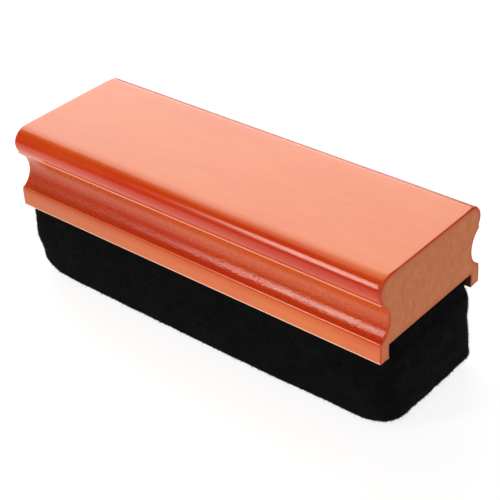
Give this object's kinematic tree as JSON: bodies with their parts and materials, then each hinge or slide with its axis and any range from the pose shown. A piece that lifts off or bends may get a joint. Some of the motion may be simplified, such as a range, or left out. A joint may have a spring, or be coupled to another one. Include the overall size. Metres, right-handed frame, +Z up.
{
  "type": "chalkboard eraser",
  "caption": "Chalkboard eraser: a moulded, lacquered wooden handle with finger coves, holding a plush-covered foam pad in a rebate.",
  "frame": {"origin": "middle of the wiping face, which is the lowest face of the pad", "axes": "+X along the eraser's length, +Y across it from the front long side to the back one, +Z up from the wiping face to the flat top of the handle"},
  "size_m": [0.1532, 0.0516, 0.0567],
  "materials": {
    "lacquered_wood": "orange-red stained wood under satin lacquer; sawn end grain left matte and browner",
    "black_plush": "deep black short-pile plush with a faint sheen at grazing angles",
    "grey_foam": "soft open-cell sponge",
    "fibreboard": "raw pressed fibreboard",
    "hot_melt_glue": "waxy amber hot-melt glue",
    "staple_wire": "drawn, zinc-coated steel wire"
  },
  "bodies": {
    "root": {"wooden_handle": "lacquered_wood", "plush_cover": "black_plush", "foam_core": "grey_foam", "backing_board": "fibreboard", "foam_glue_film": "hot_melt_glue", "handle_glue_bed": "hot_melt_glue", "staple_front_1": "staple_wire", "staple_front_2": "staple_wire", "staple_front_3": "staple_wire", "staple_front_4": "staple_wire", "staple_back_1": "staple_wire", "staple_back_2": "staple_wire", "staple_back_3": "staple_wire", "staple_back_4": "staple_wire", "staple_left_1": "staple_wire", "staple_left_2": "staple_wire", "staple_right_1": "staple_wire", "staple_right_2": "staple_wire"}
  },
  "joints": []
}
